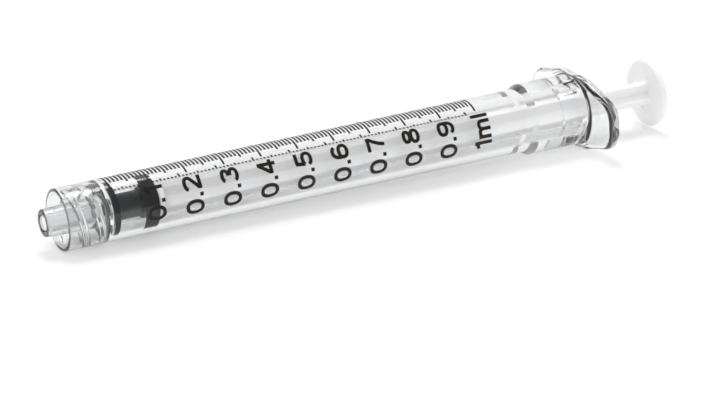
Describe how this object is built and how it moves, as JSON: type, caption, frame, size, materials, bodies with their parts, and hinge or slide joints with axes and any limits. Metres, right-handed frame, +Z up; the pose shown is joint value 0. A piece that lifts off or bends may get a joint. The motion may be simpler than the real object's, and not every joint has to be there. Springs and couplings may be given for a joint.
{
  "type": "luer lock syringe",
  "caption": "Slim one millilitre syringe with a locking luer nozzle, clear barrel, rubber stopper and sliding plunger rod.",
  "frame": {"origin": "middle of the luer nozzle's open end, on the syringe's axis", "axes": "+X along the syringe from the nozzle to the thumb rest, +Z up, square to the flats of the finger flange that the syringe lies on"},
  "size_m": [0.0991, 0.0232, 0.0108],
  "materials": {
    "clear_barrel": "clear, gloss",
    "stopper_rubber": "black, satin",
    "white_rod": "white, satin"
  },
  "bodies": {
    "barrel": {"barrel": "clear_barrel"},
    "stopper": {"stopper": "stopper_rubber"},
    "plunger_rod": {"plunger_rod": "white_rod"}
  },
  "joints": [
    {"name": "plunger_slide", "type": "slide", "parent": "barrel", "child": "stopper", "axis": [1, 0, 0], "range_m": [0, 0.0645]},
    {"name": "rod_turn", "type": "hinge", "parent": "stopper", "child": "plunger_rod", "pos_m": [0.0164, 0, 0], "axis": [1, 0, 0], "continuous": true}
  ]
}
